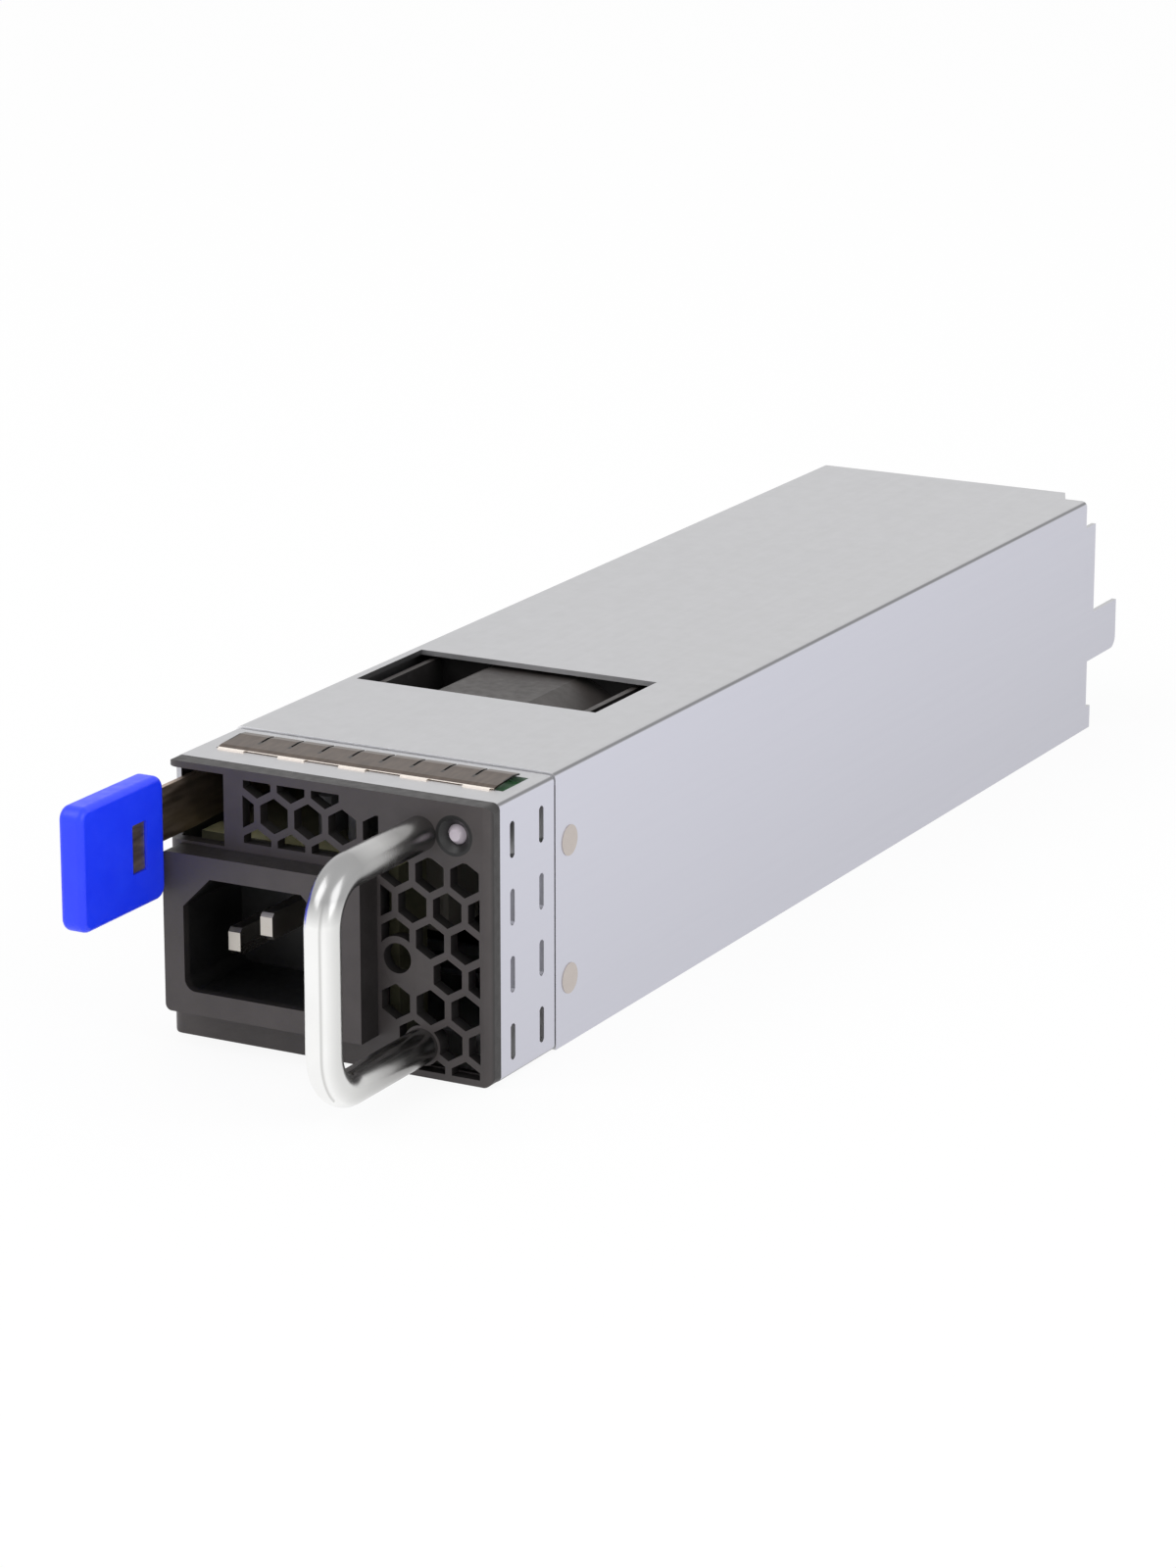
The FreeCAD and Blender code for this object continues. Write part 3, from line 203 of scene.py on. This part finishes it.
def tint(tree, factor, first, second):
    """Colour between two by a factor, each of them a colour or an output."""
    mix = tree.nodes.new("ShaderNodeMix")
    mix.data_type = "RGBA"
    tree.links.new(factor, mix.inputs[MIX_FACTOR])
    for socket, colour in ((MIX_FIRST, first), (MIX_SECOND, second)):
        if isinstance(colour, tuple):
            mix.inputs[socket].default_value = (*colour, 1.0)
        else:
            tree.links.new(colour, mix.inputs[socket])
    return mix.outputs[MIX_RESULT]


def bump(tree, shader, height, depth, strength):
    """Fine relief of a surface, with its depth in metres."""
    node = tree.nodes.new("ShaderNodeBump")
    node.inputs["Strength"].default_value = strength
    node.inputs["Distance"].default_value = depth
    tree.links.new(height, node.inputs["Height"])
    tree.links.new(node.outputs["Normal"], shader.inputs["Normal"])


def maths(tree, operation, first, second=0.0):
    """One step of arithmetic on an output and an output or a number."""
    step = tree.nodes.new("ShaderNodeMath")
    step.operation = operation
    tree.links.new(first, step.inputs[0])
    if isinstance(second, float):
        step.inputs[1].default_value = second
    else:
        tree.links.new(second, step.inputs[1])
    return step.outputs[0]


def both(tree, first, second):
    """Share of the surface that two shares have in common."""
    return maths(tree, "MULTIPLY", first, second)


def along(tree, source, axis):
    """One axis of the object coordinates or of the surface normal."""
    node = tree.nodes.new("ShaderNodeTexCoord")
    split = tree.nodes.new("ShaderNodeSeparateXYZ")
    tree.links.new(node.outputs[source], split.inputs[0])
    return split.outputs[axis]


def place(tree, axis):
    """Place on the part along an axis."""
    return along(tree, "Object", axis)


def facing(tree, axis):
    """How far the surface faces along an axis, from -1 to 1."""
    return along(tree, "Normal", axis)


def inside_shade_share(tree):
    """1 on the walls' inner faces, in front of the open rear end, where shade is painted."""
    inward = both(tree, facing(tree, "X"), place(tree, "X"))
    closed = maths(tree, "LESS_THAN", place(tree, "Y"), INSIDE_SHADE_REAR_Y)
    return both(tree, maths(tree, "LESS_THAN", inward, INSIDE_SHADE_LEAN), closed)


def fold_shade_share(tree):
    """1 on the narrow strip of a fold that leans half-way between a wall and the top, where shade is painted."""
    lean = both(tree, facing(tree, "X"), facing(tree, "Z"))
    return rise(tree, maths(tree, "ABSOLUTE", lean), *FOLD_SHADE_LEAN)


def edge_highlight_share(tree):
    """1 on the high sheet edges near the front that look to the front, where a highlight is painted."""
    forward = rise(tree, facing(tree, "Y"), *EDGE_HIGHLIGHT_FACING)
    front = maths(tree, "LESS_THAN", place(tree, "Y"), EDGE_HIGHLIGHT_REAR_Y)
    high = maths(tree, "GREATER_THAN", place(tree, "Z"), EDGE_HIGHLIGHT_LOW_Z)
    return both(tree, forward, both(tree, front, high))


def zinc_sheet():
    """Zinc-plated steel: fine spangle, rolling lines along the length, painted light on the side walls, painted
    shade on the inner faces and folds, a painted highlight on the front edges.
    """
    made, tree, shader = new_material("zinc_sheet", ZINC_PLAIN, roughness=0.42, metallic=1.0)
    spangle = spread(tree, noise(tree, scale=420, detail=5))
    sheet = tint(tree, spangle, ZINC_DARK, ZINC_LIGHT)
    # Painted light on the side walls: lighter and bluer higher up and nearer the front.
    upper = rise(tree, place(tree, "Z"), *PAINTED_WALL_Z)
    nearer = rise(tree, place(tree, "Y"), *PAINTED_WALL_Y)
    mean = maths(tree, "MULTIPLY", maths(tree, "ADD", upper, nearer), 0.5)
    wall = tint(tree, mean, ZINC_WALL_PAINTED_DARK, ZINC_WALL_PAINTED_LIGHT)
    walls_painted = tint(tree, rise(tree, facing(tree, "X"), *PAINTED_WALL_FACING), sheet, wall)
    # Painted shade on the walls' inner faces.
    lined = tint(tree, inside_shade_share(tree), walls_painted, ZINC_INSIDE_SHADE)
    # Painted shade along the folds.
    fold_shaded = tint(tree, fold_shade_share(tree), lined, ZINC_FOLD_SHADE)
    # Painted highlight on the front-facing sheet edges.
    tree.links.new(tint(tree, edge_highlight_share(tree), fold_shaded, ZINC_EDGE_HIGHLIGHT), shader.inputs["Base Color"])
    rolling = noise(tree, scale=900, detail=3, stretch=(1, 0.03, 1))
    tree.links.new(spread(tree, rolling, 0.41, 0.455), shader.inputs["Roughness"])
    bump(tree, shader, noise(tree, scale=2600, detail=2), depth=0.00001, strength=0.2)
    return made


def finger_bronze():
    """Brown spring strip with painted shade in the slits and bright bare lips along its front edge."""
    made, tree, shader = new_material("finger_bronze", STRIP_PLAIN, roughness=0.34, metallic=1.0)
    streaks = spread(tree, noise(tree, scale=1400, detail=4, stretch=(1, 0.2, 1)))
    strip = tint(tree, streaks, STRIP_DARK, STRIP_LIGHT)
    # Painted shade in the slits between the fingers, over their rear part.
    steps = maths(tree, "DIVIDE", maths(tree, "SUBTRACT", place(tree, "X"), FINGER_LEFT_X), FINGER_PITCH)
    beside = maths(tree, "LESS_THAN", maths(tree, "PINGPONG", steps, 0.5), SLIT_SHADE_SHARE)
    rear = maths(tree, "GREATER_THAN", place(tree, "Y"), SLIT_SHADE_FRONT_Y)
    slit_shaded = tint(tree, both(tree, beside, rear), strip, STRIP_SLIT_SHADE)
    lips = maths(tree, "LESS_THAN", place(tree, "Y"), LIP_REAR_Y)
    tree.links.new(tint(tree, lips, slit_shaded, STRIP_LIP), shader.inputs["Base Color"])
    return made


def moulded(name, dark, light, roughness, grain=4200, depth=0.00004):
    """Moulded plastic: fine grain and a slight change of shade."""
    made, tree, shader = new_material(name, dark, roughness)
    clouds = spread(tree, noise(tree, scale=220, detail=4))
    tree.links.new(tint(tree, clouds, dark, light), shader.inputs["Base Color"])
    gloss = spread(tree, noise(tree, scale=700, detail=2), roughness - 0.06, roughness + 0.06)
    tree.links.new(gloss, shader.inputs["Roughness"])
    bump(tree, shader, noise(tree, grain, detail=3), depth, strength=0.35)
    return made


def faced(name, dark, light, roughness, axis, wall):
    """Moulded plastic with painted shade on its walls, darker than on the faces along an axis."""
    made = moulded(name, dark, light, roughness)
    tree = made.node_tree
    shader = tree.nodes["Principled BSDF"]
    shader.inputs["Specular IOR Level"].default_value = FACE_SPECULAR
    # Painted shade: the walls are darker than the faces along the axis.
    face = rise(tree, maths(tree, "ABSOLUTE", facing(tree, axis)), *WALL_SHADE_FACING)
    grained = shader.inputs["Base Color"].links[0].from_socket
    tree.links.new(tint(tree, face, wall, grained), shader.inputs["Base Color"])
    return made


def metal(name, dark, light, roughness, streak=(1, 1, 1), scale=1400):
    """Bare metal: streaks in shade and gloss."""
    made, tree, shader = new_material(name, dark, roughness, metallic=1.0)
    streaks = spread(tree, noise(tree, scale, 4, streak))
    tree.links.new(tint(tree, streaks, dark, light), shader.inputs["Base Color"])
    gloss = spread(tree, noise(tree, scale, 3, streak), roughness * 0.75, roughness * 1.25)
    tree.links.new(gloss, shader.inputs["Roughness"])
    return made


def bent_bar():
    """Satin steel bar, bright on its grip, with a painted darker reflection line along its front and painted shade
    on the legs, the upper bend and its right side.
    """
    made, tree, shader = new_material("polished_steel", BAR_PLAIN, roughness=0.24, metallic=1.0)
    clouds = spread(tree, noise(tree, scale=140, detail=2))
    bright = tint(tree, clouds, BAR_DARK, BAR_LIGHT)
    # Painted reflection: a darker line along the bar's front.
    line = maths(tree, "SUBTRACT", rise(tree, facing(tree, "X"), *PAINTED_LINE_STARTS),
                 rise(tree, facing(tree, "X"), *PAINTED_LINE_ENDS))
    ahead = maths(tree, "LESS_THAN", facing(tree, "Y"), PAINTED_LINE_FACING)
    lined = tint(tree, both(tree, line, ahead), bright, BAR_PAINTED_LINE)
    # Painted shade on the bar's right side.
    right_shaded = tint(tree, rise(tree, facing(tree, "X"), *RIGHT_SHADE_FACING), lined, BAR_RIGHT_SHADE)
    # Painted shade on the upper bend.
    bend = both(tree, rise(tree, place(tree, "Z"), *BEND_SHADE_Z), rise(tree, place(tree, "Y"), *BEND_SHADE_Y))
    bent = tint(tree, bend, right_shaded, BAR_BEND_SHADE)
    # Painted shade on the legs, darker towards the bezel.
    legs = rise(tree, place(tree, "Y"), *LEG_SHADE_Y)
    tree.links.new(tint(tree, legs, bent, BAR_LEG_SHADE), shader.inputs["Base Color"])
    drawn = noise(tree, scale=260, detail=2, stretch=(1, 1, 0.2))
    tree.links.new(spread(tree, drawn, 0.22, 0.28), shader.inputs["Roughness"])
    return made


def olive_board():
    """Olive circuit board with painted light on its upper face near the front, and darker on its edges and other
    faces.
    """
    made, tree, shader = new_material("board_olive", OLIVE_PLAIN, roughness=0.38)
    clouds = spread(tree, noise(tree, scale=300, detail=3))
    edge = tint(tree, clouds, OLIVE_DARK, OLIVE_LIGHT)
    # Painted light on the upper face near the front.
    front = maths(tree, "LESS_THAN", place(tree, "Y"), OLIVE_LIT_REAR_Y)
    face = both(tree, rise(tree, facing(tree, "Z"), *OLIVE_LIT_FACING), front)
    tree.links.new(tint(tree, face, edge, OLIVE_LIT_FACE), shader.inputs["Base Color"])
    bump(tree, shader, noise(tree, scale=900, detail=3), depth=0.00003, strength=0.3)
    return made


def green_board(name, dark, light):
    """Circuit board: solder resist over faint copper tracks."""
    made, tree, shader = new_material(name, dark, roughness=0.38)
    cells = tree.nodes.new("ShaderNodeTexVoronoi")
    cells.distance = "MANHATTAN"
    cells.inputs["Scale"].default_value = TRACK_SCALE
    coordinates = tree.nodes.new("ShaderNodeTexCoord")
    tree.links.new(coordinates.outputs["Object"], cells.inputs["Vector"])
    tree.links.new(tint(tree, cells.outputs["Distance"], dark, light), shader.inputs["Base Color"])
    bump(tree, shader, cells.outputs["Distance"], depth=0.00003, strength=0.3)
    return made


def status_light():
    """Clear light with a faint haze; its own pinkish tint is brightened as a painted highlight."""
    # Lens tint, brightened as a painted highlight.
    made, tree, shader = new_material("lens", LENS_TINT_AND_HIGHLIGHT, roughness=0.12)
    tree.links.new(spread(tree, noise(tree, scale=900, detail=2), 0.1, 0.2), shader.inputs["Roughness"])
    shader.inputs["Transmission Weight"].default_value = LIGHT_CLEAR
    return made


def surfaces():
    """One material for each slot of the record: its darker and lighter shade, its roughness and its grain."""
    return {
        "zinc_sheet": zinc_sheet(),
        "rivet": metal("rivet", (0.5, 0.45, 0.42), (0.56, 0.51, 0.48), 0.45),
        "finger_bronze": finger_bronze(),
        # The bezel's and the fan's walls get painted shade.
        "bezel_plastic": faced("bezel_plastic", (0.049, 0.0425, 0.0425), (0.06, 0.052, 0.052), 0.45,
                               axis="Y", wall=(0.017, 0.015, 0.015)),
        "inlet_plastic": moulded("inlet_plastic", (0.0045, 0.0045, 0.0048), (0.007, 0.0068, 0.007), 0.4),
        "pin_plating": metal("pin_plating", (0.5, 0.47, 0.43), (0.55, 0.52, 0.48), 0.32,
                             streak=(1, 0.1, 1), scale=500),
        "polished_steel": bent_bar(),
        "lens": status_light(),
        "board_green": green_board("board_green", (0.02, 0.1, 0.03), (0.05, 0.19, 0.07)),
        "board_olive": olive_board(),
        "lever_steel": metal("lever_steel", (0.4, 0.31, 0.25), (0.5, 0.4, 0.33), 0.4, streak=(1, 0.1, 1)),
        "grip_blue": moulded("grip_blue", (0.008, 0.036, 0.97), (0.011, 0.045, 1.0), 0.36,
                             grain=3200, depth=0.00003),
        "fan_plastic": faced("fan_plastic", (0.034, 0.03, 0.028), (0.05, 0.044, 0.042), 0.5,
                             axis="Z", wall=(0.009, 0.008, 0.008)),
        "copper": metal("copper", (0.42, 0.17, 0.07), (0.6, 0.27, 0.12), 0.35, streak=(1, 1, 12)),
        "ferrite": moulded("ferrite", (0.16, 0.16, 0.165), (0.24, 0.24, 0.245), 0.6),
        "film_box": moulded("film_box", (0.3, 0.28, 0.24), (0.38, 0.355, 0.31), 0.4),
        "dipped": moulded("dipped", (0.14, 0.14, 0.15), (0.2, 0.2, 0.21), 0.35),
        "component_black": moulded("component_black", (0.02, 0.02, 0.021), (0.032, 0.032, 0.033), 0.45),
        "nylon": moulded("nylon", (0.66, 0.64, 0.58), (0.75, 0.73, 0.67), 0.4),
        "gold_plating": metal("gold_plating", (0.75, 0.5, 0.16), (0.83, 0.6, 0.24), 0.2),
        "film": moulded("film", (0.5, 0.48, 0.4), (0.6, 0.58, 0.5), 0.35),
        "heat_sink": metal("heat_sink", (0.5, 0.51, 0.53), (0.6, 0.61, 0.63), 0.4, streak=(1, 0.06, 1)),
    }


def rounded_loop(bm, x, outline, inset):
    """Ring of points on a rounded rectangle across x, all in millimetres."""
    y0, y1, z0, z1, radius = outline
    reach = radius - inset
    points = []
    for corner, (y, z) in enumerate(((y1 - radius, z1 - radius), (y0 + radius, z1 - radius),
                                     (y0 + radius, z0 + radius), (y1 - radius, z0 + radius))):
        for step in range(CORNER_STEPS + 1):
            angle = math.radians(90 * (corner + step / CORNER_STEPS))
            point = Vector((x, y + reach * math.cos(angle), z + reach * math.sin(angle)))
            points.append(bm.verts.new(point * MM))
    return points


def rounded_slab(bm, x_range, outline, edge):
    """Rings of a slab across x with rounded edges, from its left cap to its right one."""
    turns = [math.radians(90 * step / EDGE_STEPS) for step in range(EDGE_STEPS + 1)]
    left = [rounded_loop(bm, x_range[0] + edge * (1 - math.sin(turn)), outline, edge * (1 - math.cos(turn)))
            for turn in reversed(turns)]
    right = [rounded_loop(bm, x_range[1] - edge * (1 - math.sin(turn)), outline, edge * (1 - math.cos(turn)))
             for turn in turns]
    return left + right


def skin(name, bm, rings, material):
    """Closed skin over the rings, as a piece of its own."""
    for lower, upper in zip(rings, rings[1:]):
        for here in range(len(lower)):
            after = (here + 1) % len(lower)
            bm.faces.new((lower[here], lower[after], upper[after], upper[here]))
    bm.faces.new(reversed(rings[0]))
    bm.faces.new(rings[-1])
    bmesh.ops.recalc_face_normals(bm, faces=bm.faces)
    mesh = bpy.data.meshes.new(name)
    bm.to_mesh(mesh)
    bm.free()
    mesh.shade_smooth()
    mesh.set_sharp_from_angle(angle=math.radians(SHARP_FROM_ANGLE))
    mesh.materials.append(material)
    piece = bpy.data.objects.new(name, mesh)
    bpy.context.scene.collection.objects.link(piece)
    piece.modifiers.new("flat_faces", "WEIGHTED_NORMAL").keep_sharp = True
    return piece


def soft_grip(made):
    """Moulded grip with soft edges, and the lever's metal that shows in its pocket."""
    bm = bmesh.new()
    rings = rounded_slab(bm, GRIP_X, GRIP_OUTLINE, GRIP_EDGE)
    rings += [rounded_loop(bm, x, POCKET_OUTLINE, 0.0) for x in (GRIP_X[1], POCKET_X)]
    grip = skin("latch_grip_soft", bm, rings, made["grip_blue"])
    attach(grip, "latch")
    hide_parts("latch_grip")
    bm = bmesh.new()
    rings = rounded_slab(bm, PADDLE_X, PADDLE_OUTLINE, PADDLE_EDGE)
    paddle = skin("latch_paddle_face", bm, rings, made["lever_steel"])
    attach(paddle, "latch")


def leaf_spring(made):
    """Bent leaf between the bracket and the lever."""
    route = [Vector(point) for point in LEAF_PATH]
    for _ in range(LEAF_ROUNDS):
        cut = [point for a, b in zip(route, route[1:]) for point in (a.lerp(b, 0.25), a.lerp(b, 0.75))]
        route = [route[0]] + cut + [route[-1]]
    bm = bmesh.new()
    rings = []
    for here, point in enumerate(route):
        ahead = route[min(here + 1, len(route) - 1)] - route[max(here - 1, 0)]
        across = Vector((ahead.y, -ahead.x)).normalized() * LEAF_HALF
        corners = ((point + across, LEAF_Z[0]), (point + across, LEAF_Z[1]),
                   (point - across, LEAF_Z[1]), (point - across, LEAF_Z[0]))
        rings.append([bm.verts.new(Vector((*corner, z)) * MM) for corner, z in corners])
    leaf = skin("latch_spring_leaf", bm, rings, made["lever_steel"])
    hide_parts("latch_spring")
    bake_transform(leaf)


def dress_nodes():
    """Gives every CAD node its material and the visible ones a fine edge rounding, and adds the scene's pieces."""
    made = surfaces()
    for part in frame["record"]["subparts"]:
        node = nodes[part["node"]]
        node.data.materials.clear()
        node.data.materials.append(made[part["material_slot"]])
    for name, width in EDGE_ROUND.items():
        rounding = nodes[name].modifiers.new("edge_round", "BEVEL")
        rounding.width = width * MM
        rounding.segments = ROUND_SEGMENTS
        rounding.limit_method = "ANGLE"
        rounding.angle_limit = math.radians(ROUND_FROM_ANGLE)
        rounding.use_clamp_overlap = True
        rounding.harden_normals = True
    soft_grip(made)
    leaf_spring(made)


def background_share(tree):
    """1 for rays that should see the white surroundings: camera, glossy and transmission rays."""
    path = tree.nodes.new("ShaderNodeLightPath")
    seen = path.outputs["Is Camera Ray"]
    for output in ("Is Glossy Ray", "Is Transmission Ray"):
        seen = maths(tree, "MAXIMUM", seen, path.outputs[output])
    return seen


def white_world():
    """Even white light from all sides, and plain white where the surroundings are seen."""
    world = bpy.data.worlds.new("studio")
    bpy.context.scene.world = world
    world.use_nodes = True
    tree = world.node_tree
    sky = tree.nodes["Background"]
    sky.inputs["Color"].default_value = (1.0, 1.0, 1.0, 1.0)
    strength = rise(tree, background_share(tree), 0.0, 1.0, low=WORLD_STRENGTH)
    tree.links.new(strength, sky.inputs["Strength"])


def white_floor():
    """Wide pale floor that stays white to the camera and keeps the shadow."""
    bpy.ops.mesh.primitive_circle_add(vertices=FLOOR_SIDES, radius=FLOOR_RADIUS, fill_type="NGON",
                                      location=(0, 0, FLOOR_Z))
    floor = bpy.context.object
    floor.name = "floor"
    made, tree, shader = new_material("floor", FLOOR_COLOUR, FLOOR_ROUGHNESS)
    glow = tree.nodes.new("ShaderNodeEmission")
    mix = tree.nodes.new("ShaderNodeMixShader")
    tree.links.new(maths(tree, "MULTIPLY", background_share(tree), FLOOR_GLOW), mix.inputs["Fac"])
    tree.links.new(shader.outputs["BSDF"], mix.inputs[1])
    tree.links.new(glow.outputs["Emission"], mix.inputs[2])
    tree.links.new(mix.outputs["Shader"], tree.nodes["Material Output"].inputs["Surface"])
    floor.data.materials.append(made)


def lights():
    """Square soft lamps, turned to the part."""
    for name, (spot, power) in LAMPS.items():
        data = bpy.data.lights.new(name, "AREA")
        data.size = LAMP_SIZE
        data.energy = power
        light = bpy.data.objects.new(name, data)
        light.location = spot
        light.rotation_euler = (Vector(LAMP_AIM) - Vector(spot)).to_track_quat("-Z", "Y").to_euler()
        bpy.context.scene.collection.objects.link(light)


def camera():
    """Camera at the photograph's viewing angle."""
    data = bpy.data.cameras.new("camera")
    data.lens = LENS_MM
    data.sensor_width = SENSOR_MM
    azimuth, elevation = math.radians(CAMERA_AZIMUTH), math.radians(CAMERA_ELEVATION)
    back = Vector((math.sin(azimuth) * math.cos(elevation), -math.cos(azimuth) * math.cos(elevation),
                   math.sin(elevation)))
    eye = bpy.data.objects.new("camera", data)
    eye.location = CAMERA_TARGET + back * CAMERA_DISTANCE
    eye.rotation_euler = (-back).to_track_quat("-Z", "Y").to_euler()
    bpy.context.scene.collection.objects.link(eye)
    bpy.context.scene.camera = eye


dress_nodes()
white_world()
white_floor()
lights()
camera()
bpy.context.scene.view_settings.view_transform = "Standard"
